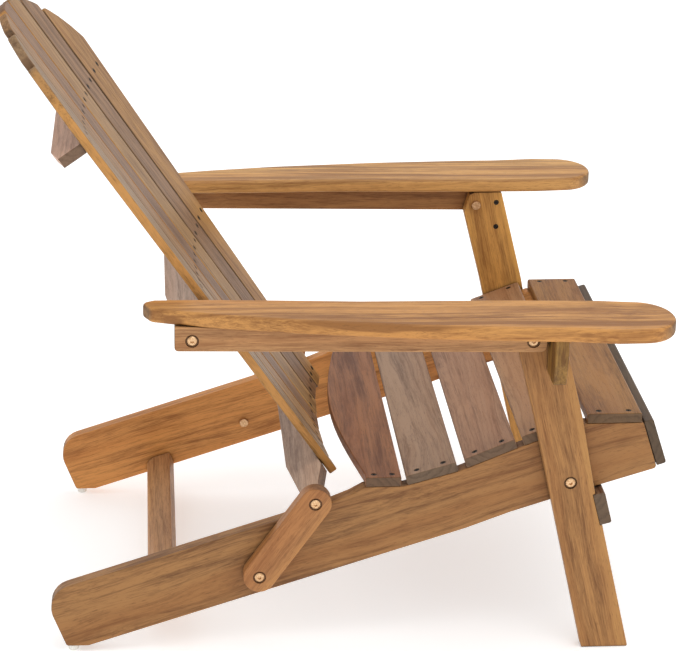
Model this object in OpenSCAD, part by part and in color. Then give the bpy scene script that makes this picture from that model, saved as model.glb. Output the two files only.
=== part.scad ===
// Folding adirondack chair in oiled hardwood.
// +Z is up, the sitter faces -Y, and X = 0 is the plane of symmetry.
// The origin is on the floor at the centre of the chair's footprint box.

/* [Frame and seat] */
// Half of the width across the outer faces of the seat rails
rail_half = 280; // [260:1:300]
// Thickness of the boards of the seat rails
rail_t = 22; // [19:0.5:24]
// Thickness of the legs, links and arm rails
board_t = 21; // [18:0.5:22]
// Running gap filled by a washer between boards that turn on each other
washer_gap = 1; // [0.6:0.1:1.5]
// Thickness of the seat slats
seat_slat_t = 14; // [12:0.5:15]

/* [Back] */
// Angle of the back from the vertical
back_tilt = 34.6; // [30:0.1:36]
// Thickness of the back slats
back_slat_t = 12; // [10:0.5:13]
// Gap between neighbouring back slats
back_gap = 4.6; // [3:0.1:6]
// Height of the centre of the rounded top along the back
arch_u = 453; // [440:1:465]
// Radius of the rounded top of the back
arch_r = 272; // [266:1:280]
// Thickness of the three rails behind the slats
crossrail_t = 15; // [13:0.5:16]

/* [Arms] */
// Thickness of the armrest boards
armrest_t = 20; // [16:0.5:22]
// Height of the rails under the armrests
arm_rail_h = 36.5; // [35:0.5:38]
// Slope of the arms, up to the rear
arm_tilt = 0.8; // [0.4:0.05:1.1]

/* [Hardware] */
// Diameter of the pivot bolts
bolt_d = 8; // [6:0.5:8]
// Diameter of the bolt heads
bolt_head_d = 13; // [11:0.5:14]
// Diameter of the recess around each bolt head
recess_d = 18; // [16:0.5:20]
// Diameter of the wood screw heads
screw_head_d = 8; // [7:0.5:9]
// Diameter of the wood screw shanks
screw_d = 4; // [3:0.5:4.5]

/* [Hidden] */
$fn = 48;

// The side plane is laid out with y = 0 over the rear feet; this moves it
// so that the footprint box is centred on the origin.
shift_y = 362.1;

// Pivots in the side plane, [y, z]
p_leg = [-677.6, 248.5];
p_arm = [-616.6, 461.5];
p_arm_rear = [-168.4, 470.4];
p_link_top = [-332.4, 224.2];
p_link_low = [-256.5, 117.3];

// Layers across the chair
leg_in = rail_half + washer_gap;
leg_out = leg_in + board_t;
arm_in = leg_out + washer_gap;
arm_out = arm_in + board_t;
hole_r = bolt_d / 2 + 0.06;
head_h = 3.2;
recess_depth = 2.6;

// The back's own frame: origin at the seat end, height u along the slats
back_o = [-334.95, 250];
cup = 0.00043;
tangent_x = [0, 61, 122, 181];
slope = [for (x = tangent_x) 2 * cup * x];

// ---- small helpers ----
function unit(v) = v / norm(v);
function wrap(a) = a > 180 ? a - 360 : a < -180 ? a + 360 : a;
// One corner replaced by an arc of radius r with n steps
function corner(a, p, b, r, n) =
    let(u = unit(a - p), v = unit(b - p))
    let(h = acos(max(-1, min(1, u * v))) / 2)
    let(c = p + unit(u + v) * (r / sin(h)))
    let(s = p + u * (r / tan(h)), e = p + v * (r / tan(h)))
    let(a0 = atan2(s[1] - c[1], s[0] - c[0]), a1 = atan2(e[1] - c[1], e[0] - c[0]))
    let(d = wrap(a1 - a0))
    [for (i = [0 : n]) c + r * [cos(a0 + d * i / n), sin(a0 + d * i / n)]];
// Outline from points [x, y, corner radius]
function rounded(p, n = 5) =
    let(m = len(p))
    [for (i = [0 : m - 1])
        let(q = [for (k = [m - 1, 0, 1]) p[(i + k) % m]])
        each (q[1][2] > 0
            ? corner([q[0][0], q[0][1]], [q[1][0], q[1][1]], [q[2][0], q[2][1]], q[1][2], n)
            : [[q[1][0], q[1][1]]])];
// Board with its outline in the side plane, from x0 to x1
module side_board(outline, x0, x1) {
    translate([x0, 0, 0])
        rotate([90, 0, 90])
            linear_extrude(x1 - x0)
                polygon(outline);
}
module placed() {
    translate([0, shift_y, 0])
        children();
}
// Cylinder along X from x0 to x1 at a side-plane point
module xcyl(p, r, x0, x1, f = 48) {
    translate([x0, p[0], p[1]])
        rotate([0, 90, 0])
            cylinder(h = x1 - x0, r = r, $fn = f);
}
// Mirror copy onto the other side
module both() {
    children();
    mirror([1, 0, 0])
        children();
}
// Wood screw: head flush at the origin, pointing along -Z
module screw_solid(len) {
    difference() {
        union() {
            translate([0, 0, -3])
                cylinder(h = 2.6, d1 = screw_d, d2 = screw_head_d, $fn = 24);
            translate([0, 0, -len])
                cylinder(h = len - 2.9, d = screw_d, $fn = 24);
        }
        translate([0, 0, -1.9])
            cylinder(h = 3, d = 3, $fn = 6);
    }
}
module screw_void(len) {
    translate([0, 0, -3.1])
        cylinder(h = 2.7, d1 = screw_d + 0.2, d2 = screw_head_d + 0.2, $fn = 24);
    translate([0, 0, -0.5])
        cylinder(h = 2, d = screw_head_d + 0.2, $fn = 24);
    translate([0, 0, -len - 0.4])
        cylinder(h = len, d = screw_d + 0.2, $fn = 24);
}
// Pivot bolt along +X: shank from x0, head seated in a recess at x1
module pivot_bolt(p, x0, x1) {
    difference() {
        union() {
            xcyl(p, bolt_d / 2, x0, x1 - recess_depth + 0.1);
            xcyl(p, bolt_head_d / 2, x1 - recess_depth, x1 - recess_depth + head_h - 1);
            translate([x1 - recess_depth + head_h - 1.01, p[0], p[1]])
                rotate([0, 90, 0])
                    cylinder(h = 1, d1 = bolt_head_d, d2 = bolt_head_d - 2.4, $fn = 48);
        }
        xcyl(p, 2.9, x1 - recess_depth + 1, x1 + 3, 6);
    }
}
module nut(p, x0, x1) {
    difference() {
        xcyl(p, 6.5, x0, x1);
        xcyl(p, bolt_d / 2 + 0.03, x0 - 1, x1 + 1);
    }
}
module washer(p, x0, x1) {
    difference() {
        xcyl(p, 11, x0 + 0.05, x1 - 0.05);
        xcyl(p, hole_r, x0 - 1, x1 + 1);
    }
}
module recess(p, x1) {
    xcyl(p, recess_d / 2, x1 - recess_depth, x1 + 1);
}

// ---- seat frame ----
rail_outline = rounded([
    [9, 8.6, 4], [29, 60, 35], [27, 92.3, 32],
    [-332, 207.2, 0], [-380, 227, 60], [-400, 238.4, 14],
    [-454, 238.5, 6], [-530, 259.8, 6], [-610, 292.6, 6],
    [-693, 323.5, 6], [-698, 325.4, 2], [-777.8, 325.4, 3],
    [-799, 258.8, 5], [-654, 214.6, 0], [-600, 197.2, 0], [-540, 174.6, 0], [-21, 8.5, 3]
]);
seat_top_in = rail_half - rail_t;

module rail_right_solid() {
    difference() {
        side_board(rail_outline, seat_top_in, rail_half);
        xcyl(p_leg, hole_r, seat_top_in - 1, rail_half + 1);
        xcyl(p_link_low, hole_r, seat_top_in - 1, rail_half + 1);
        seat_screw_places(1)
            screw_void(34);
        apron_screw_places(1)
            screw_void(34);
        dowel_places()
            dowel_shape(0.05);
        foot_pin_void();
    }
}
module foot_pin_void() {
    translate([rail_half - rail_t / 2, 0, 7.9])
        cylinder(h = 14, d = 5.2, $fn = 24);
}
// Seat slats: [rear y, rear z, front y, front z] of the underside
slats = [
    [-401.5, 238.5, -450.4, 238.5],
    [-459.3, 240.0, -527.8, 259.2],
    [-539.8, 263.8, -607.6, 291.6],
    [-616.4, 295.0, -690.0, 322.4],
    [-700.4, 325.5, -774.9, 325.5]
];
function slat_dir(s) = unit([s[2] - s[0], s[3] - s[1]]);
function slat_up(s) = let(d = slat_dir(s)) [d[1], -d[0]];
function slat_w(s) = norm([s[2] - s[0], s[3] - s[1]]);
// Frame on top of a slat: origin at the middle of its upper face
module on_slat(s, x) {
    d = slat_dir(s);
    m = [(s[0] + s[2]) / 2, (s[1] + s[3]) / 2] + slat_up(s) * (seat_slat_t + 0.1);
    translate([x, m[0], m[1]])
        rotate([-atan2(d[1], -d[0]), 0, 0])
            children();
}
module seat_screw_places(side) {
    for (i = [0 : 4])
        for (k = [-1, 1])
            on_slat(slats[i], side * (rail_half - rail_t / 2))
                translate([0, k * (slat_w(slats[i]) / 2 - (i == 0 ? 12 : 17)), 0])
                    children();
}
module seat_slat(i) {
    s = slats[i];
    w = slat_w(s);
    difference() {
        on_slat(s, 0)
            translate([-rail_half, 0, 0])
                rotate([90, 0, 90])
                    linear_extrude(2 * rail_half)
                        polygon(rounded([
                            [-w / 2, -seat_slat_t, 1.5], [w / 2, -seat_slat_t, 1.5],
                            [w / 2, 0, 3], [-w / 2, 0, 3]], 3));
        both()
            seat_screw_places(1)
                screw_void(34);
    }
}
function swell(t) = 0.75 * (1 - t * t) + 0.125 * (1 + cos(180 * t));
// Rear slat, wider in the middle to follow the curve of the back
module seat_slat_rear() {
    yf = -450.4;
    ye = -401.5;
    bulge = 30;
    difference() {
        translate([0, 0, 238.6])
            linear_extrude(seat_slat_t)
                polygon(concat(
                    [[-rail_half, yf], [rail_half, yf], [rail_half, ye]],
                    [for (i = [0 : 16])
                        let(x = (rail_half - 14) * (1 - i / 8))
                        [x, ye + bulge * swell(x / (rail_half - 14))]],
                    [[-rail_half, ye]]));
        both()
            seat_screw_places(1)
                screw_void(34);
    }
}
// Apron across the front of the rails
apron_outline = rounded([
    [-777.9, 326.6, 1.5], [-790.6, 330.4, 3], [-811.6, 266.2, 3], [-798.8, 262, 1.5]
], 3);
module apron_screw_places(side) {
    a = atan2(330.4 - 266.2, -790.6 + 811.6);
    for (k = [0.24, 0.76])
        translate([side * (rail_half - rail_t / 2),
                   -790.6 - 21 * k, 330.4 - 64.2 * k])
            rotate([a, 0, 0])
                children();
}
module apron_board() {
    difference() {
        side_board(apron_outline, -rail_half, rail_half);
        both()
            apron_screw_places(1)
                screw_void(34);
    }
}
// Rear stretcher between the rails
rear_outline = rounded([
    [-104, 37, 2], [-103.6, 52, 10], [-113, 60.5, 6], [-138.6, 68.6, 2], [-146, 51, 2]
], 4);
// Two dowels at each end, blind in the rail and in the stretcher
module dowel_places() {
    for (q = [[-114, 47.5], [-133, 54]])
        translate([seat_top_in, q[0], q[1]])
            rotate([0, 90, 0])
                children();
}
module dowel_shape(clear) {
    translate([0, 0, -24 - clear])
        cylinder(h = 36 + 2 * clear, r = 4 + clear, $fn = 32);
}
module rear_board() {
    difference() {
        side_board(rear_outline, -seat_top_in + 0.05, seat_top_in - 0.05);
        both()
            dowel_places()
                dowel_shape(0.05);
    }
}
module glide(p, x, h) {
    translate([x, p, 0])
        cylinder(h = h, d1 = 14, d2 = 17, $fn = 48);
    translate([x, p, h - 0.5])
        cylinder(h = 14, d = 5, $fn = 24);
}

// ---- front legs ----
leg_outline = rounded([
    [-598.6, 449, 3], [-606.6, 477.5, 3], [-613.8, 481.5, 2], [-655.6, 481.5, 4],
    [-690.8, 340, 0], [-712, 231.5, 0], [-708.9, 229.9, 0], [-720.5, 184.7, 0],
    [-723.7, 185.3, 0], [-767, 0, 2], [-702.5, 0, 2], [-626, 341, 0]
]);
corbel_rear = -639.2;
corbel_front = -656.8;
module leg_right_solid() {
    difference() {
        side_board(leg_outline, leg_in, leg_out);
        xcyl(p_leg, hole_r, leg_in - 1, leg_out + 1);
        recess(p_leg, leg_out);
        xcyl(p_arm, hole_r, leg_in - 1, leg_out + 1);
        corbel_screw_places()
            screw_void(36);
        stretcher_screw_places()
            screw_void(40);
    }
}
module corbel_screw_places() {
    for (q = [[-648, 465], [-648.4, 426]])
        translate([leg_in, q[0], q[1]])
            rotate([0, -90, 0])
                children();
}
stretcher_outline = rounded([
    [-709.1, 229.9, 1], [-725.1, 233.7, 3], [-736.5, 188.9, 3], [-720.7, 184.9, 1]
], 3);
module stretcher_screw_places() {
    lean = atan2(11.4, 44.8);
    for (k = [0.25, 0.75])
        translate([(leg_in + leg_out) / 2, -725.1 - 11.4 * k, 233.7 - 44.8 * k])
            rotate([90 - lean, 0, 0])
                children();
}
// Bracket under the armrest; its outline is in the front plane
corbel_outline = rounded([
    [leg_out + 0.05, 411.3, 2], [leg_out + 0.05, 481.7, 0], [368, 481.7, 3],
    [366, 444, 20], [355, 411.3, 4]
]);
module corbel_right_solid() {
    difference() {
        translate([0, corbel_rear, 0])
            rotate([90, 0, 0])
                linear_extrude(corbel_rear - corbel_front)
                    polygon(corbel_outline);
        corbel_screw_places()
            screw_void(36);
    }
}

// ---- arms ----
// The arm rail is laid out along the arm: a forward is negative, h above the pivot line
rail_lo = -15;
rail_hi = rail_lo + arm_rail_h;
arm_len = norm(p_arm_rear - p_arm);
arm_screw_a = [40, 220, 400];
// Lower edge of the arm rail; it rises a little towards the rear
function rail_edge(a) = rail_lo + 3 * a / arm_len;
module arm_frame() {
    translate([0, p_arm[0], p_arm[1]])
        rotate([arm_tilt, 0, 0])
            children();
}
module arm_rail_right_solid() {
    difference() {
        arm_frame()
            side_board(rounded([
                [-18.4, rail_edge(-18.4), 9], [arm_len + 23, rail_edge(arm_len + 23), 5],
                [arm_len + 23, rail_hi, 2], [-18.4, rail_hi, 2]]), arm_in, arm_out);
        xcyl(p_arm, hole_r, arm_in - 1, arm_out + 1);
        recess(p_arm, arm_out);
        xcyl(p_arm_rear, hole_r, arm_in - 1, arm_out + 1);
        recess(p_arm_rear, arm_out);
        arm_screw_places()
            screw_void(48);
    }
}
module arm_screw_places() {
    for (a = arm_screw_a)
        arm_frame()
            translate([(arm_in + arm_out) / 2, a, rail_edge(a)])
                rotate([180, 0, 0])
                    children();
}
// Armrest seen from above, [x, distance along the arm from the front pivot]
arm_plan = concat(
    [for (i = [0 : 20]) [338.5, -134] + [56 * cos(180 + 9 * i), 48 * sin(180 + 9 * i)]],
    rounded([
        [396, -100, 0], [387.5, -40, 160], [385.5, 14, 160], [374, 155, 0], [363.5, 232, 0],
        [353, 309, 0], [333.5, 405, 60], [317, 469, 0], [305.5, 503, 14], [280, 515, 10],
        [269.5, 498, 8], [268.5, 437, 0], [271, 347, 120], [276.5, 226, 160], [275, 100, 0],
        [275, 14, 0], [277.5, -92, 0]
    ], 6));;
module armrest_right_solid() {
    difference() {
        arm_frame()
            translate([0, 0, rail_hi + 0.02])
                linear_extrude(armrest_t)
                    polygon(arm_plan);
        arm_screw_places()
            screw_void(48);
    }
}

// ---- links ----
// Bar with round ends about both pivots
function link_outline(r, n = 24) =
    let(d = p_link_top - p_link_low)
    let(a = atan2(d[1], d[0]))
    concat([for (i = [0 : n]) p_link_top + r * [cos(a - 90 + 180 * i / n), sin(a - 90 + 180 * i / n)]],
           [for (i = [0 : n]) p_link_low + r * [cos(a + 90 + 180 * i / n), sin(a + 90 + 180 * i / n)]]);
module link_right_solid() {
    difference() {
        side_board(link_outline(22), leg_in, leg_out);
        for (p = [p_link_low, p_link_top]) {
            xcyl(p, hole_r, leg_in - 1, leg_out + 1);
            recess(p, leg_out);
        }
    }
}

// ---- back ----
module back_frame() {
    translate([0, back_o[0], back_o[1]])
        rotate([-back_tilt, 0, 0])
            children();
}
// Boundaries between slats, half width at height u
function edge_1(u) = 27 + 4.3 * (u + 26) / 570;
function edge_2(u) = 85.5 + 9.2 * (u + 26) / 570;
function edge_3(u) = 141.5 + 15.8 * (u + 26) / 570;
function edge_4(u) = 183.8 + 0.0935 * u + back_gap / 2;
function edge(i, u) = i == 0 ? -edge_1(u) : i == 1 ? edge_1(u) : i == 2 ? edge_2(u)
    : i == 3 ? edge_3(u) : edge_4(u);
// Height of the rounded top at x
function top_u(x) = arch_u + sqrt(arch_r * arch_r - x * x);
// Height where the edge line of slat boundary i meets the rounded top
function meet(i, g, u = 650, n = 12) = n == 0 ? u : meet(i, g, top_u(edge(i, u) + g), n - 1);
slat_low = [-38, -38, -37, -43];
screw_rows = [544, 276, -22];
// How far the front face of slat i, and of the whole back, comes forward at x
function front_n_of(i, x) = cup * tangent_x[i] * tangent_x[i] + slope[i] * (x - tangent_x[i]);
function front_n(x) = let(a = abs(x))
    front_n_of(a < 30.5 ? 0 : a < 91.5 ? 1 : a < 151.5 ? 2 : 3, a);

// Slat number i from the middle, on the +X side
module back_slat_board(i) {
    g = back_gap / 2;
    c = cos(atan(slope[i]));
    u0 = slat_low[i];
    ul = meet(i, g);
    ur = meet(i + 1, -g);
    xl = edge(i, ul) + g;
    xr = edge(i + 1, ur) - g;
    x0 = tangent_x[i];
    r = i == 3 ? 8 : 9;
    pts = concat(
        [[(edge(i, u0) + g - x0) / c, u0, 3], [(edge(i + 1, u0) - g - x0) / c, u0, 3]],
        [for (k = [0 : 4])
            let(x = xr + (xl - xr) * k / 4)
            [(x - x0) / c, k == 0 ? ur : k == 4 ? ul : top_u(x), k == 0 || k == 4 ? r : 0]]);
    difference() {
        translate([x0, -cup * x0 * x0, 0])
            rotate([0, 0, -atan(slope[i])])
                translate([0, back_slat_t, 0])
                    rotate([90, 0, 0])
                        linear_extrude(back_slat_t)
                            polygon(rounded(pts));
        slat_screw_places(i)
            screw_void(30);
    }
}
module slat_screw_places(i) {
    for (u = screw_rows)
        for (k = [-1, 1]) {
            mid = (edge(i, u) + edge(i + 1, u)) / 2;
            dx = i == 3 && u < 0 ? 10 : 15;
            x = mid + k * dx;
            translate([x, -front_n_of(i, x), u])
                rotate([0, 0, -atan(slope[i])])
                    rotate([90, 0, 0])
                        children();
        }
}

// Outline of a crossrail in the plane across the slats: [x, distance behind the front faces]
function crossrail_front(xe) = concat(
    [for (x = [-xe, -151.5, -91.5, -30.5, 30.5, 91.5, 151.5, xe])
        [x, -front_n(x) + back_slat_t + 0.5]]);
module crossrail_plate(u, pts) {
    translate([0, 0, u - crossrail_t / 2])
        linear_extrude(crossrail_t)
            polygon(pts);
}
module all_slat_screws() {
    slat_screw_places(0)
        children();
    for (i = [1 : 3])
        both()
            slat_screw_places(i)
                children();
}
u_top = 548.5;
// The middle and lower crossrails are centred on their pivots
function to_back(p) = let(d = p - back_o)
    [d[0] * sin(back_tilt) + d[1] * cos(back_tilt), d[0] * cos(back_tilt) - d[1] * sin(back_tilt)];
u_mid = to_back(p_arm_rear)[0];
d_mid = to_back(p_arm_rear)[1];
u_low = to_back(p_link_top)[0];
d_low = to_back(p_link_top)[1];
module crossrail_top_solid() {
    difference() {
        crossrail_plate(u_top, concat(crossrail_front(232), [[233, -2], [233, 26],
            [175, 40], [-175, 40], [-233, 26], [-233, -2]]));
        all_slat_screws()
            screw_void(30);
    }
}
// End tabs stay within this half depth of the pivot
tab = 11.6;
module crossrail_mid_solid() {
    xe = leg_out;
    difference() {
        crossrail_plate(u_mid, concat(
            [[-xe, d_mid - tab], [-262, d_mid - tab], [-238, -front_n(238) + back_slat_t + 0.5]],
            [for (x = [-151.5, -91.5, -30.5, 30.5, 91.5, 151.5])
                [x, -front_n(x) + back_slat_t + 0.5]],
            [[238, -front_n(238) + back_slat_t + 0.5], [262, d_mid - tab], [xe, d_mid - tab]],
            [[xe, d_mid + tab], [263, d_mid + tab], [262, 30], [132, 43.9], [100, 47.5],
             [-100, 47.5], [-132, 43.9], [-262, 30], [-263, d_mid + tab], [-xe, d_mid + tab]]));
        both() {
            back_axis(u_mid, d_mid)
                cylinder(h = 400, r = hole_r);
        }
        all_slat_screws()
            screw_void(30);
        tab_trim(u_mid, d_mid, 262, xe + 1);
    }
}
// Rounds the end tabs to a radius about the pivot
module tab_trim(u, d, x0, x1) {
    both()
        difference() {
            translate([x0, d - 30, u - 30])
                cube([x1 - x0, 60, 60]);
            translate([x0 - 1, d, u])
                rotate([0, 90, 0])
                    cylinder(h = x1 - x0 + 2, r = 13.2, $fn = 64);
        }
}
module back_axis(u, d) {
    translate([236, d, u])
        rotate([0, 90, 0])
            children();
}
module crossrail_low_solid() {
    xe = rail_half;
    difference() {
        crossrail_plate(u_low, concat(
            [[-xe, d_low - 13], [-254, d_low - 13], [-205, -front_n(205) + back_slat_t + 0.5]],
            [for (x = [-151.5, -91.5, -30.5, 30.5, 91.5, 151.5])
                [x, -front_n(x) + back_slat_t + 0.5]],
            [[205, -front_n(205) + back_slat_t + 0.5], [254, d_low - 13], [xe, d_low - 13]],
            [[xe, d_low + 12], [257, d_low + 12.5], [256, 34], [140, 50],
             [-140, 50], [-256, 34], [-257, d_low + 12.5], [-xe, d_low + 12]]));
        both() {
            back_axis(u_low, d_low)
                cylinder(h = 400, r = hole_r);
            back_axis(u_low, d_low)
                translate([0, 0, 8.9])
                    cylinder(h = 5.2, r = 6.6);
        }
        all_slat_screws()
            screw_void(30);
    }
}

// ---- nodes ----
wood = [0.62, 0.36, 0.18];
wood_light = [0.76, 0.48, 0.24];
wood_dark = [0.45, 0.28, 0.20];
brass_c = [0.78, 0.62, 0.35];
steel_c = [0.32, 0.30, 0.28];

module side_rail_right() { color(wood) placed() rail_right_solid(); }
module side_rail_left() { color(wood) placed() mirror([1, 0, 0]) rail_right_solid(); }
module rear_stretcher() { color(wood_dark) placed() rear_board(); }
module glide_right() { color("white") placed() glide(0, rail_half - rail_t / 2, 8.4); }
module glide_left() { color("white") placed() glide(0, -rail_half + rail_t / 2, 8.4); }
module seat_slat_1_rear() { color(wood) placed() seat_slat_rear(); }
module seat_slat_2() { color(wood_dark) placed() seat_slat(1); }
module seat_slat_3() { color(wood_dark) placed() seat_slat(2); }
module seat_slat_4() { color(wood) placed() seat_slat(3); }
module seat_slat_5_front() { color(wood) placed() seat_slat(4); }
module front_apron() { color(wood_dark) placed() apron_board(); }
module seat_screws() {
    color(steel_c)
        placed()
            both()
                seat_screw_places(1)
                    screw_solid(34);
}
module apron_screws() {
    color(steel_c)
        placed()
            both()
                apron_screw_places(1)
                    screw_solid(34);
}
module stretcher_dowels() {
    color(wood_light)
        placed()
            both()
                dowel_places()
                    dowel_shape(0);
}
module pivot_bolts_leg() {
    color(brass_c) placed() both() pivot_bolt(p_leg, seat_top_in - 5, leg_out);
}
module pivot_nuts_leg() {
    color(brass_c) placed() both() nut(p_leg, seat_top_in - 5, seat_top_in);
}
module pivot_bolts_link_lower() {
    color(brass_c) placed() both() pivot_bolt(p_link_low, seat_top_in - 5, leg_out);
}
module pivot_nuts_link_lower() {
    color(brass_c) placed() both() nut(p_link_low, seat_top_in - 5, seat_top_in);
}
module front_leg_right() { color(wood) placed() leg_right_solid(); }
module front_leg_left() { color(wood) placed() mirror([1, 0, 0]) leg_right_solid(); }
module leg_stretcher() {
    color(wood_dark)
        placed()
            difference() {
                side_board(stretcher_outline, -leg_out, leg_out);
                both()
                    stretcher_screw_places()
                        screw_void(40);
            }
}
module corbel_right() { color(wood) placed() corbel_right_solid(); }
module corbel_left() { color(wood) placed() mirror([1, 0, 0]) corbel_right_solid(); }
module leg_screws() {
    color(steel_c)
        placed()
            both() {
                corbel_screw_places()
                    screw_solid(36);
                stretcher_screw_places()
                    screw_solid(40);
            }
}
module pivot_bolts_arm() {
    color(brass_c) placed() both() pivot_bolt(p_arm, leg_in - 4.5, arm_out);
}
module pivot_nuts_arm() {
    color(brass_c) placed() both() nut(p_arm, leg_in - 4.5, leg_in);
}
module washers_leg() {
    color("black")
        placed()
            both() {
                washer(p_leg, rail_half, leg_in);
                washer(p_arm, leg_out, arm_in);
            }
}
module arm_rail_right() { color(wood) placed() arm_rail_right_solid(); }
module arm_rail_left() { color(wood) placed() mirror([1, 0, 0]) arm_rail_right_solid(); }
module armrest_right() { color(wood_light) placed() armrest_right_solid(); }
module armrest_left() { color(wood_light) placed() mirror([1, 0, 0]) armrest_right_solid(); }
module arm_screws_right() {
    color(steel_c) placed() arm_screw_places() screw_solid(48);
}
module arm_screws_left() {
    color(steel_c) placed() mirror([1, 0, 0]) arm_screw_places() screw_solid(48);
}
module arm_rear_bolt_right() {
    color(brass_c) placed() pivot_bolt(p_arm_rear, arm_in - 0.6, arm_out);
}
module arm_rear_bolt_left() {
    color(brass_c) placed() mirror([1, 0, 0]) pivot_bolt(p_arm_rear, arm_in - 0.6, arm_out);
}
module link_right() { color(wood) placed() link_right_solid(); }
module link_left() { color(wood) placed() mirror([1, 0, 0]) link_right_solid(); }
module link_washer_pair() {
    washer(p_link_low, rail_half, leg_in);
    washer(p_link_top, rail_half, leg_in);
}
module link_washers_right() { color("black") placed() link_washer_pair(); }
module link_washers_left() { color("black") placed() mirror([1, 0, 0]) link_washer_pair(); }
module back_slat_1() { color(wood_light) placed() mirror([1, 0, 0]) back_frame() back_slat_board(3); }
module back_slat_2() { color(wood) placed() mirror([1, 0, 0]) back_frame() back_slat_board(2); }
module back_slat_3() { color(wood_light) placed() mirror([1, 0, 0]) back_frame() back_slat_board(1); }
module back_slat_4() { color(wood) placed() back_frame() back_slat_board(0); }
module back_slat_5() { color(wood_light) placed() back_frame() back_slat_board(1); }
module back_slat_6() { color(wood) placed() back_frame() back_slat_board(2); }
module back_slat_7() { color(wood_light) placed() back_frame() back_slat_board(3); }
module crossrail_upper() { color(wood_dark) placed() back_frame() crossrail_top_solid(); }
module crossrail_middle() { color(wood_dark) placed() back_frame() crossrail_mid_solid(); }
module crossrail_lower() { color(wood_dark) placed() back_frame() crossrail_low_solid(); }
module back_screws() {
    color(steel_c) placed() back_frame() all_slat_screws() screw_solid(30);
}
module pivot_bolts_link_upper() {
    color(brass_c) placed() both() pivot_bolt(p_link_top, 244, leg_out);
}
module pivot_nuts_link_upper() {
    color(brass_c) placed() both() nut(p_link_top, 245, 250);
}

side_rail_left();
side_rail_right();
rear_stretcher();
glide_left();
glide_right();
seat_slat_1_rear();
seat_slat_2();
seat_slat_3();
seat_slat_4();
seat_slat_5_front();
front_apron();
seat_screws();
apron_screws();
stretcher_dowels();
pivot_bolts_leg();
pivot_nuts_leg();
pivot_bolts_link_lower();
pivot_nuts_link_lower();
front_leg_left();
front_leg_right();
leg_stretcher();
corbel_left();
corbel_right();
leg_screws();
pivot_bolts_arm();
pivot_nuts_arm();
washers_leg();
arm_rail_left();
armrest_left();
arm_screws_left();
arm_rear_bolt_left();
arm_rail_right();
armrest_right();
arm_screws_right();
arm_rear_bolt_right();
link_left();
link_washers_left();
link_right();
link_washers_right();
back_slat_1();
back_slat_2();
back_slat_3();
back_slat_4();
back_slat_5();
back_slat_6();
back_slat_7();
crossrail_upper();
crossrail_middle();
crossrail_lower();
back_screws();
pivot_bolts_link_upper();
pivot_nuts_link_upper();
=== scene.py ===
"""Look of the folding adirondack chair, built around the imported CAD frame."""
import math
import random

import bmesh
import bpy
from mathutils import Matrix, Vector, kdtree


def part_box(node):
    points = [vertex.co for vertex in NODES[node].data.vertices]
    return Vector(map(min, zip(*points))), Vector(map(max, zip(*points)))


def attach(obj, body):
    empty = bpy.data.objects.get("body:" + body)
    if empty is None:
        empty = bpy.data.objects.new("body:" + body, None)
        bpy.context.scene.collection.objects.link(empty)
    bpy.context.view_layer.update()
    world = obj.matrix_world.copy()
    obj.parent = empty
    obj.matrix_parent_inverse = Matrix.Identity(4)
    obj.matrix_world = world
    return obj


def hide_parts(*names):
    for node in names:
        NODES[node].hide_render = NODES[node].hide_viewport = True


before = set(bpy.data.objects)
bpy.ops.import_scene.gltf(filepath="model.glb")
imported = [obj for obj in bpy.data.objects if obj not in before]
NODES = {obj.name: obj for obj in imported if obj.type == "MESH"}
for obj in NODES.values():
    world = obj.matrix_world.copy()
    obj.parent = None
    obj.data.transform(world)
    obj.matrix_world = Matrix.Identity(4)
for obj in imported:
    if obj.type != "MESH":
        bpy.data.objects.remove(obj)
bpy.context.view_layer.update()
scene = bpy.context.scene
rng = random.Random(7)
SEED_SPAN = 40


# ---------------------------------------------------------------- directions
def in_side(degrees):
    """Unit vector in the side plane, at an angle from +Y towards +Z."""
    angle = math.radians(degrees)
    return Vector((0, math.cos(angle), math.sin(angle)))


X, Y, Z = Vector((1, 0, 0)), Vector((0, 1, 0)), Vector((0, 0, 1))
RAIL_DIR = in_side(180 - 17.4)      # along the side rails, towards the front
RAIL_UP = RAIL_DIR.cross(X)
LEG_DIR = in_side(90 - 12.6)        # up the front legs
LEG_SIDE = LEG_DIR.cross(X)
BACK_UP = in_side(90 - 34.6)        # up the back slats
BACK_OUT = in_side(180 - 34.6)      # out of the back, towards the sitter
LINK_DIR = in_side(125.4)           # up the links
LINK_SIDE = LINK_DIR.cross(X)


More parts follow.
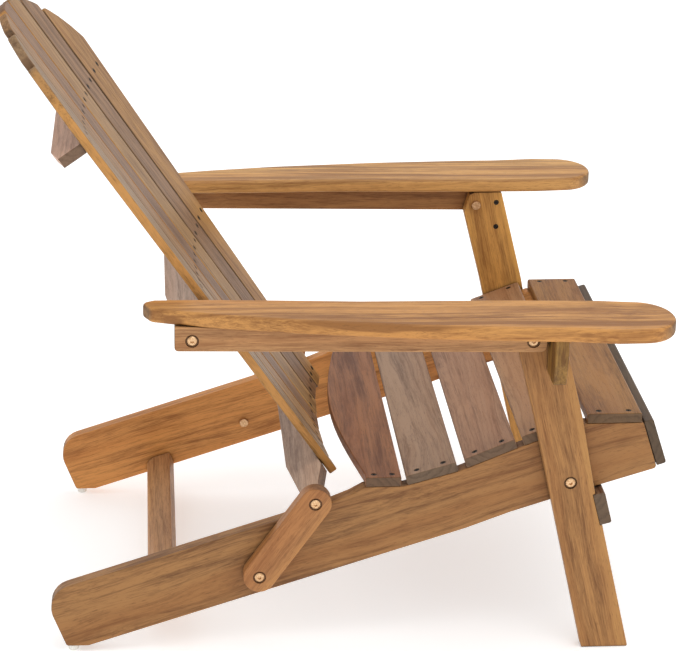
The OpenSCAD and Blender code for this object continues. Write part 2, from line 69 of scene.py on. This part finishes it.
# ---------------------------------------------------------------- node helper
class Tree:
    """Short calls for building a material's node tree."""

    def __init__(self, name):
        self.mat = bpy.data.materials.new(name)
        self.mat.use_nodes = True
        self.nodes = self.mat.node_tree.nodes
        self.links = self.mat.node_tree.links
        self.bsdf = self.nodes["Principled BSDF"]

    def add(self, kind, **props):
        node = self.nodes.new(kind)
        for key, value in props.items():
            setattr(node, key, value)
        return node

    def put(self, socket, value):
        """Link a socket to the input, or set the input to a plain value."""
        if isinstance(value, bpy.types.NodeSocket):
            self.links.new(value, socket)
        else:
            socket.default_value = value

    def shader(self, **values):
        """Set sockets of the Principled shader: Base_Color=... is its Base Color."""
        for key, value in values.items():
            self.put(self.bsdf.inputs[key.replace("_", " ")], value)

    def math(self, op, a, b=0.0):
        node = self.add("ShaderNodeMath", operation=op)
        self.put(node.inputs[0], a)
        self.put(node.inputs[1], b)
        return node.outputs[0]

    def vmath(self, op, a, b):
        node = self.add("ShaderNodeVectorMath", operation=op)
        self.put(node.inputs[0], a)
        self.put(node.inputs[1], b)
        return node.outputs["Value" if op == "DOT_PRODUCT" else "Vector"]

    def noise(self, vec, detail, rough, scale=1.0):
        node = self.add("ShaderNodeTexNoise")
        self.put(node.inputs["Vector"], vec)
        node.inputs["Scale"].default_value = scale
        node.inputs["Detail"].default_value = detail
        node.inputs["Roughness"].default_value = rough
        return node.outputs["Fac"]

    def stretched(self, vec, layer):
        """Noise of one layer: (cells per metre, detail, roughness, shift)."""
        cells, detail, rough, shift = layer
        vec = self.vmath("MULTIPLY", vec, cells)
        if shift:
            vec = self.vmath("ADD", vec, shift)
        return self.noise(vec, detail, rough)

    def swing(self, vec, layer):
        """The same noise round zero, from -0.5 to 0.5."""
        return self.math("SUBTRACT", self.stretched(vec, layer), 0.5)

    def ramp(self, fac, stops):
        """Colour ramp; a stop is (position, grey value or colour)."""
        node = self.add("ShaderNodeValToRGB")
        elements = node.color_ramp.elements
        while len(elements) < len(stops):
            elements.new(0.5)
        for element, (position, colour) in zip(elements, stops):
            grey = isinstance(colour, (int, float))
            element.position = position
            element.color = (colour, colour, colour, 1) if grey else (*colour, 1)
        self.put(node.inputs[0], fac)
        return node.outputs[0]

    def mix(self, fac, a, b, blend="MIX"):
        node = self.add("ShaderNodeMix", data_type="RGBA", blend_type=blend)
        self.put(node.inputs[FACTOR], fac)
        for index, value in ((COLOUR_A, a), (COLOUR_B, b)):
            plain = not isinstance(value, bpy.types.NodeSocket)
            self.put(node.inputs[index], (*value, 1) if plain else value)
        return node.outputs[COLOUR_RESULT]

    def bump(self, height, strength, distance):
        node = self.add("ShaderNodeBump")
        node.inputs["Strength"].default_value = strength
        node.inputs["Distance"].default_value = distance
        self.put(node.inputs["Height"], height)
        self.shader(Normal=node.outputs[0])


# places of the Mix node's sockets, which share their names between data types
FACTOR, COLOUR_A, COLOUR_B, COLOUR_RESULT = 0, 6, 7, 2


def srgb(*colour):
    """0 to 255 sRGB to linear."""
    def one(v):
        v /= 255
        return v / 12.92 if v <= 0.04045 else ((v + 0.055) / 1.055) ** 2.4
    return tuple(one(v) for v in colour)


def scaled(colour, k):
    """A colour times a number, or times one number for each channel."""
    factors = k if isinstance(k, tuple) else (k, k, k)
    return tuple(v * f for v, f in zip(colour, factors))


def blended(a, b, share):
    """Colour a with a share of colour b."""
    return tuple(v * (1 - share) + w * share for v, w in zip(a, b))


# ---------------------------------------------------------------- wood
END_TINT = srgb(92, 76, 60)
# back slat edge colours: the gold is partly sapwood and partly a painted highlight; the dull is
# partly darker wood and partly painted shade in the gaps
GOLD_EDGE_SAP_AND_HIGHLIGHT = srgb(170, 122, 66)
DULL_EDGE_AND_SHADE = srgb(104, 78, 54)
CROSSRAIL_EDGE = srgb(112, 84, 64)

# how far each channel goes from the mean colour to the light and dark wood
LIGHTER = (0.34, 0.37, 0.36)
DARKER = (0.42, 0.50, 0.54)
PALE = (1.50, 1.62, 1.55)
PALE_LIMIT = 0.9
WARM = (1.10, 0.90, 0.72)

# noise layers: cells per metre along, across and through the board, detail, roughness, shift
WANDER = ((2.6, 11, 11), 2.0, 0.5, None)
WANDER_DEEP = ((2.6, 11, 11), 2.0, 0.5, (7.3, 1.1, 4.2))
RING_WAVE = ((4, 45, 45), 3.0, 0.55, None)
BAND = ((1.5, 42, 42), 3.0, 0.55, None)
STREAK = ((6.5, 240, 240), 4.0, 0.62, None)
CLOUD = ((13, 42, 42), 4.0, 0.62, None)
FIBRE = ((34, 780, 780), 3.0, 0.6, None)
PORE = ((95, 900, 900), 2.0, 0.5, None)
HUE = ((1.1, 22, 22), 2.0, 0.5, (3.1, 8.2, 5.5))
STRIPE = ((0.7, 62, 62), 2.0, 0.45, (1.7, 0.4, 9.1))

SEED_STEPS = (1.37, 2.11, 0.73)
SEED_REACH = 5.0            # metres
BEND = 0.030                # metres that the fibres wander at figure 1
RINGS_PER_METRE = 95.0
RING_WOBBLE = 1.1           # rings
LATE_MEAN = 0.42
TONE_MIDDLE = 0.48
SAP_COVER = 0.85
SAP_WAVE = 0.02             # metres that the sapwood's edge wanders
PORE_COVER = 0.40
SHADE_REACH = 0.008          # metres over which painted shade darkens a seam or recess


def shades(colour, spread):
    """Light, middle, dark and sapwood colours round one mean colour."""
    mean = srgb(*colour)
    light = scaled(mean, tuple(1 + k * spread for k in LIGHTER))
    dark = scaled(mean, tuple(1 - k * spread for k in DARKER))
    pale = tuple(min(v, PALE_LIMIT) for v in scaled(mean, PALE))
    return light, mean, dark, pale


def board_space(t, coords, origin, grain, across):
    """Coordinates in metres along the grain, across the board and through it."""
    mapping = t.add("ShaderNodeMapping", vector_type="TEXTURE")
    t.put(mapping.inputs["Vector"], coords)
    mapping.inputs["Location"].default_value = origin
    axes = Matrix((grain, across, grain.cross(across)))
    mapping.inputs["Rotation"].default_value = axes.transposed().to_euler()
    return mapping.outputs[0]


def seed_shift(seed):
    """A place of its own in the noise for each seed."""
    return Vector([seed * step % SEED_REACH for step in SEED_STEPS])


def late_wood(t, place, moved, pith, tilt):
    """Growth rings round the pith line, from 0 in the early wood to 1 in the late
    wood, and the place across the board."""
    split = t.add("ShaderNodeSeparateXYZ")
    t.put(split.inputs[0], place)
    along, aside, deep = split.outputs
    # the slight tilt draws long arches on flat faces
    aside_pith = t.math("SUBTRACT", t.math("ADD", aside, t.math("MULTIPLY", along, tilt)), pith[0])
    deep_pith = t.math("SUBTRACT", deep, pith[1])
    square = t.math("ADD", t.math("MULTIPLY", aside_pith, aside_pith),
                    t.math("MULTIPLY", deep_pith, deep_pith))
    ring = t.math("MULTIPLY", t.math("SQRT", square), RINGS_PER_METRE)
    ring = t.math("ADD", ring, t.math("MULTIPLY", t.stretched(moved, RING_WAVE), RING_WOBBLE))
    late = t.ramp(t.math("FRACT", ring),
                  [(0.0, 0.35), (0.12, 0.0), (0.55, 0.2), (0.88, 1.0), (1.0, 0.35)])
    return late, aside


def wood(name, origin, grain, across, tone, seed, pith, sap=None, end_dark=0.8, side=None,
         figure=1.0, tilt=0.03, spread=1.0, bands=1.0, stripe=0.0):
    """Acacia for one board. grain and across are directions in the row frame. The
    growth rings lie round a pith line beside the board, at pith = (across, through),
    so that faces, edges and end grain all belong to one piece of wood. sap is
    (where, width, sign) of a pale band across the board, in metres. side is
    (sign, colour): the edge faces turned that way across the board take that colour."""
    light, mean, dark, pale = shades(tone, spread)
    t = Tree("acacia_" + name)
    coords = t.add("ShaderNodeTexCoord")
    place = board_space(t, coords.outputs["Object"], origin, grain, across)
    moved = t.vmath("ADD", place, seed_shift(seed))

    # slow wander of the fibres bends every layer of the figure
    off = t.add("ShaderNodeCombineXYZ")
    t.put(off.inputs["Y"], t.math("MULTIPLY", t.swing(moved, WANDER), BEND * figure))
    t.put(off.inputs["Z"], t.math("MULTIPLY", t.swing(moved, WANDER_DEEP), BEND * figure))
    bent = t.vmath("ADD", moved, off.outputs[0])
    late, aside = late_wood(t, t.vmath("ADD", place, off.outputs[0]), moved, pith, tilt)
    lines = t.math("SUBTRACT", late, LATE_MEAN)

    # bands, streaks, fibres and pores, long along the grain
    band = t.swing(bent, BAND)
    streak = t.swing(bent, STREAK)
    cloud = t.swing(moved, CLOUD)
    fibre = t.swing(bent, FIBRE)
    pores = t.ramp(t.stretched(bent, PORE), [(0.60, 0.0), (0.70, 1.0)])
    tonal = TONE_MIDDLE
    for part, weight in ((band, 1.45 * bands), (streak, 1.25), (cloud, 0.95), (fibre, 1.35),
                         (lines, 0.22 * figure)):
        tonal = t.math("ADD", tonal, t.math("MULTIPLY", part, weight))
    col = t.ramp(tonal, [(0.18, light), (0.38, blended(light, mean, 0.5)), (0.52, mean),
                         (0.66, blended(mean, dark, 0.28)), (0.92, dark)])

    # warm patches
    patch = t.ramp(t.stretched(bent, HUE), [(0.46, 0.0), (0.68, 0.42)])
    col = t.mix(patch, col, scaled(mean, WARM))
    if stripe:
        dark_band = t.ramp(t.stretched(bent, STRIPE), [(0.54, 0.0), (0.64, 1.0)])
        col = t.mix(t.math("MULTIPLY", dark_band, stripe), col, dark)
    if sap:
        where, width, sign = sap
        wavy = t.math("ADD", aside, t.math("MULTIPLY", band, SAP_WAVE))
        past = t.math("MULTIPLY", t.math("SUBTRACT", wavy, where), sign / width)
        strip = t.ramp(t.math("ADD", past, 0.5), [(0.30, 0.0), (0.75, 1.0)])
        pale_col = t.ramp(tonal, [(0.25, pale), (0.85, light)])
        col = t.mix(t.math("MULTIPLY", strip, SAP_COVER), col, pale_col)
    col = t.mix(t.math("MULTIPLY", pores, PORE_COVER), col, scaled(dark, 0.55))

    normal = coords.outputs["Normal"]
    # faces turned one way take a set colour; on the back slats this is partly painted light: a
    # painted highlight on the golden edges and painted shade on the dull ones
    if side:
        sign, tint = side
        turned = t.vmath("DOT_PRODUCT", normal, tuple(across * sign))
        edge_col = t.ramp(tonal, [(0.25, scaled(tint, 1.25)), (0.55, tint),
                                  (0.90, scaled(tint, 0.55))])
        col = t.mix(t.ramp(turned, [(0.50, 0.0), (0.80, 1.0)]), col, edge_col)
    # end grain drinks the oil and goes dark
    facing = t.math("ABSOLUTE", t.vmath("DOT_PRODUCT", normal, tuple(grain)))
    end = t.ramp(facing, [(0.50, 0.0), (0.88, 1.0)])
    end_col = t.mix(t.math("MULTIPLY", late, 0.6), END_TINT, scaled(END_TINT, 0.55))
    col = t.mix(t.math("MULTIPLY", end, end_dark), col, end_col)
    # painted shade: darker in recesses and seams, from ambient occlusion
    ao_shade = t.add("ShaderNodeAmbientOcclusion", samples=8)
    ao_shade.inputs["Distance"].default_value = SHADE_REACH
    col = t.mix(1.0, col, t.ramp(ao_shade.outputs["AO"], [(0.25, 0.30), (0.80, 1.0)]), "MULTIPLY")

    rough = t.math("ADD", 0.48, t.math("MULTIPLY", streak, 0.25))
    rough = t.math("ADD", rough, t.math("MULTIPLY", end, 0.2))
    t.shader(Base_Color=col, Roughness=rough, Specular_IOR_Level=0.28)
    height = t.math("SUBTRACT", t.math("MULTIPLY", fibre, 0.6), t.math("MULTIPLY", pores, 0.7))
    height = t.math("SUBTRACT", height, t.math("MULTIPLY", lines, 0.2))
    t.bump(height, strength=0.30, distance=0.0004)
    return t.mat


# ---------------------------------------------------------------- boards
RIM_REACH = 0.0035          # an edge this near a screw or bolt is the rim of its hole
SAME_POINT = 2e-5
FLAT = math.radians(0.5)
SHARP = math.radians(40)
EDGE_SEGMENTS = 3

hardware_points = [v.co.copy() for n in NODES if "screws" in n or "bolt" in n
                   for v in NODES[n].data.vertices]
hardware_tree = kdtree.KDTree(len(hardware_points))
for i, point in enumerate(hardware_points):
    hardware_tree.insert(point, i)
hardware_tree.balance()


def is_rim(vertex):
    return hardware_tree.find(vertex.co)[2] < RIM_REACH


def softened(bm, soft):
    """Round the long outer edges over, and leave the holes crisp."""
    near = {v for v in bm.verts if is_rim(v)}
    edges = [e for e in bm.edges if len(e.link_faces) == 2
             and e.calc_face_angle_signed(0) > SHARP and not near.intersection(e.verts)]
    bmesh.ops.bevel(bm, geom=edges, offset=soft, offset_type="OFFSET", segments=EDGE_SEGMENTS,
                    profile=0.5, affect="EDGES", clamp_overlap=False, loop_slide=False)


def board(name, body, material, soft):
    """The CAD board as a mesh of its own, with soft edges and its material."""
    bm = bmesh.new()
    bm.from_mesh(NODES[name].data)
    bmesh.ops.remove_doubles(bm, verts=bm.verts, dist=SAME_POINT)
    bmesh.ops.dissolve_limit(bm, angle_limit=FLAT, verts=bm.verts, edges=bm.edges)
    if soft:
        softened(bm, soft)
    mesh = bpy.data.meshes.new(name + "_board")
    bm.to_mesh(mesh)
    bm.free()
    mesh.materials.clear()
    mesh.materials.append(material)
    mesh.shade_smooth()
    mesh.set_sharp_from_angle(angle=SHARP)
    piece = bpy.data.objects.new(name + "_board", mesh)
    scene.collection.objects.link(piece)
    normals = piece.modifiers.new("even_normals", "WEIGHTED_NORMAL")
    normals.keep_sharp = True
    normals.weight = 100
    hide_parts(name)
    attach(piece, body)


def centre(name):
    low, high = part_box(name)
    return (Vector(low) + Vector(high)) / 2


def make(name, body, grain, across, tone, soft=0.0014, seed=None, **look):
    """One board, and its own wood. soft is the radius of its edges, in metres."""
    drawn = rng.uniform(0, SEED_SPAN)
    if seed is None:
        seed = drawn
    board(name, body, wood(name, centre(name), grain, across, tone, seed, **look), soft)


# seat frame
make("side_rail_left", "seat_frame", RAIL_DIR, RAIL_UP, tone=(139, 98, 57), seed=3.1,
     pith=(-0.004, -0.016), tilt=0.02, figure=1.7, sap=(-0.040, 0.012, -1))
make("side_rail_right", "seat_frame", RAIL_DIR, RAIL_UP, tone=(184, 126, 68), seed=9.4,
     pith=(0.05, -0.04), figure=1.2)
make("rear_stretcher", "seat_frame", X, RAIL_DIR, tone=(166, 122, 82), soft=0.001,
     pith=(0.02, -0.03))
make("seat_slat_1_rear", "seat_frame", X, Y, tone=(127, 81, 49), seed=5.0, pith=(0.0, -0.03),
     figure=1.2, bands=1.2)
for name, tone, pith_at in (("seat_slat_2", (143, 114, 91), -0.02),
                            ("seat_slat_3", (145, 108, 82), 0.0),
                            ("seat_slat_4", (149, 112, 81), 0.02)):
    make(name, "seat_frame", X, RAIL_DIR, tone, pith=(pith_at, -0.03), figure=1.3, spread=0.8)
make("seat_slat_5_front", "seat_frame", X, Y, tone=(136, 94, 48), pith=(-0.02, -0.04))
make("front_apron", "seat_frame", X, LEG_DIR, tone=(79, 62, 45), pith=(0.0, -0.03), spread=0.8)

# front legs
for side, tone, seed, sap in (("left", (150, 106, 61), 2.2, (-0.018, 0.012, -1)),
                              ("right", (178, 128, 66), 8.3, (-0.022, 0.010, -1))):
    make("front_leg_" + side, "front_legs", LEG_DIR, LEG_SIDE, tone, seed=seed,
         pith=(0.0, -0.05), sap=sap, figure=0.8, end_dark=0.5)
for side in ("left", "right"):
    make("corbel_" + side, "front_legs", Z, X, tone=(132, 98, 46), pith=(0.03, -0.03), spread=1.2)
make("leg_stretcher", "front_legs", X, LEG_DIR, tone=(120, 92, 70), soft=0.0007,
     pith=(0.02, -0.02))

# arms and links
for side, arm_tone, seed, rail_tone in (("left", (173, 122, 66), 1.3, (165, 122, 80)),
                                        ("right", (180, 134, 78), 6.1, (146, 102, 60))):
    make("armrest_" + side, side + "_arm", Y, X, arm_tone, soft=0.0046, seed=seed,
         pith=(0.03, -0.06), end_dark=0.7, tilt=0.05, bands=1.3, stripe=0.85)
    make("arm_rail_" + side, side + "_arm", Y, Z, rail_tone, pith=(0.01, -0.03), bands=1.2)
    make("link_" + side, side + "_link", LINK_DIR, LINK_SIDE, tone=(151, 103, 61),
         pith=(0.0, -0.04), sap=(-0.014, 0.008, -1), end_dark=0.4, stripe=0.4)

# back: the edge faces towards -X take a set colour: golden on some slats, partly sapwood and
# partly a painted highlight, and dull on the rest, partly darker wood and partly painted shade in
# the gaps
BACK_TONES = ((132, 102, 70), (134, 106, 76), (142, 106, 68), (122, 90, 64),
              (142, 108, 68), (124, 92, 64), (148, 108, 62))
GOLDEN = {1, 4, 5}
PITH_SPAN = 0.03
for i, tone in enumerate(BACK_TONES, 1):
    pith = (rng.uniform(-PITH_SPAN, PITH_SPAN), -0.04)
    make("back_slat_%d" % i, "back_rest", BACK_UP, X, tone, soft=0.0018, pith=pith,
         end_dark=0.12, side=(-1, GOLD_EDGE_SAP_AND_HIGHLIGHT if i in GOLDEN else DULL_EDGE_AND_SHADE), bands=0.9)
for level, tone, soft in (("upper", (178, 136, 109), 0), ("middle", (184, 156, 136), 0),
                          ("lower", (165, 136, 114), 0.001)):
    make("crossrail_" + level, "back_rest", X, BACK_OUT, tone, soft=soft, pith=(0.02, -0.03),
         spread=0.8, side=(1, CROSSRAIL_EDGE))


# ---------------------------------------------------------------- hardware
def metal(name, tint, dark, rough, scale):
    t = Tree(name)
    noise = t.noise(t.add("ShaderNodeTexCoord").outputs["Object"], 4.0, 0.6, scale)
    t.shader(Base_Color=t.ramp(noise, [(0.35, dark), (0.62, tint)]), Metallic=1.0,
             Roughness=t.math("ADD", rough, t.math("MULTIPLY", noise, 0.2)))
    t.bump(noise, strength=0.1, distance=0.0002)
    return t.mat


def plastic(name, tint, dark, rough):
    t = Tree(name)
    noise = t.noise(t.add("ShaderNodeTexCoord").outputs["Object"], 3.0, 0.6, 260.0)
    t.shader(Base_Color=t.ramp(noise, [(0.3, dark), (0.7, tint)]),
             Roughness=t.math("ADD", rough, t.math("MULTIPLY", noise, 0.1)))
    t.bump(noise, strength=0.15, distance=0.0002)
    return t.mat


BOLT_METAL = metal("zinc_brass", srgb(228, 192, 150), srgb(184, 140, 98), 0.26, 400.0)
SCREW_METAL = metal("dark_screw", srgb(74, 68, 62), srgb(34, 30, 28), 0.42, 500.0)
GLIDE_PLASTIC = plastic("glide_white", srgb(238, 236, 230), srgb(214, 210, 202), 0.42)
WASHER_PLASTIC = plastic("washer_black", srgb(40, 38, 36), srgb(24, 22, 21), 0.5)
FINISHES = (("screws", SCREW_METAL), ("bolt", BOLT_METAL), ("nut", BOLT_METAL),
            ("washer", WASHER_PLASTIC), ("glide", GLIDE_PLASTIC))


def paint(node, material):
    if not node.material_slots:
        node.data.materials.append(material)
    for slot in node.material_slots:
        slot.material = material


for name, node in NODES.items():
    for word, material in FINISHES:
        if word in name:
            paint(node, material)

# ---------------------------------------------------------------- studio
FLOOR_HALF = 30.0
FLOOR_DROP = 0.0005         # keeps the floor clear of the feet
FLOOR_GREY = (0.90, 0.90, 0.90, 1)
WHITE_LIGHT = (1, 1, 1, 1)

floor_mesh = bpy.data.meshes.new("studio_floor")
corners = [(-1, -1), (1, -1), (1, 1), (-1, 1)]
floor_mesh.from_pydata([(FLOOR_HALF * x, FLOOR_HALF * y, 0) for x, y in corners], [],
                       [(0, 1, 2, 3)])
floor = bpy.data.objects.new("studio_floor", floor_mesh)
floor.location.z = -FLOOR_DROP
scene.collection.objects.link(floor)
floor_look = Tree("studio_floor")
floor_look.shader(Base_Color=FLOOR_GREY, Emission_Color=WHITE_LIGHT, Emission_Strength=0.38,
                  Roughness=0.9, Specular_IOR_Level=0.0)
floor_mesh.materials.append(floor_look.mat)

world = bpy.data.worlds.new("studio")
world.use_nodes = True
background = world.node_tree.nodes["Background"]
background.inputs["Color"].default_value = WHITE_LIGHT
background.inputs["Strength"].default_value = 0.92
scene.world = world


def looking(direction):
    """Rotation of a light or camera that looks in a direction."""
    return direction.to_track_quat("-Z", "Y").to_euler()


def area(name, place, target, size, power):
    light = bpy.data.lights.new(name, "AREA")
    light.shape = "DISK"
    light.size = size
    light.energy = power
    lamp = bpy.data.objects.new(name, light)
    lamp.location = place
    lamp.rotation_euler = looking(Vector(target) - Vector(place))
    scene.collection.objects.link(lamp)


area("top_light", (-0.8, -0.6, 3.4), target=(0, 0, 0.3), size=2.6, power=30)
area("side_light", (-3.2, -2.2, 2.2), target=(0, 0, 0.35), size=2.2, power=6)

# ---------------------------------------------------------------- camera
CAMERA_AT = (-3.36885, 0.23844, 1.60182)
CAMERA_YAW = math.radians(-2.87134)
CAMERA_DOWN = math.radians(20.24619)

lens = bpy.data.cameras.new("camera")
lens.sensor_width = 36.0
lens.lens = 132.16
lens.shift_x = 0.0951
lens.shift_y = 0.0138
lens.clip_end = 200
camera = bpy.data.objects.new("camera", lens)
camera.location = CAMERA_AT
camera.rotation_euler = looking(Vector((math.cos(CAMERA_YAW) * math.cos(CAMERA_DOWN),
                                        math.sin(CAMERA_YAW) * math.cos(CAMERA_DOWN),
                                        -math.sin(CAMERA_DOWN))))
scene.collection.objects.link(camera)
scene.camera = camera
scene.view_settings.view_transform = "Standard"
scene.view_settings.look = "None"
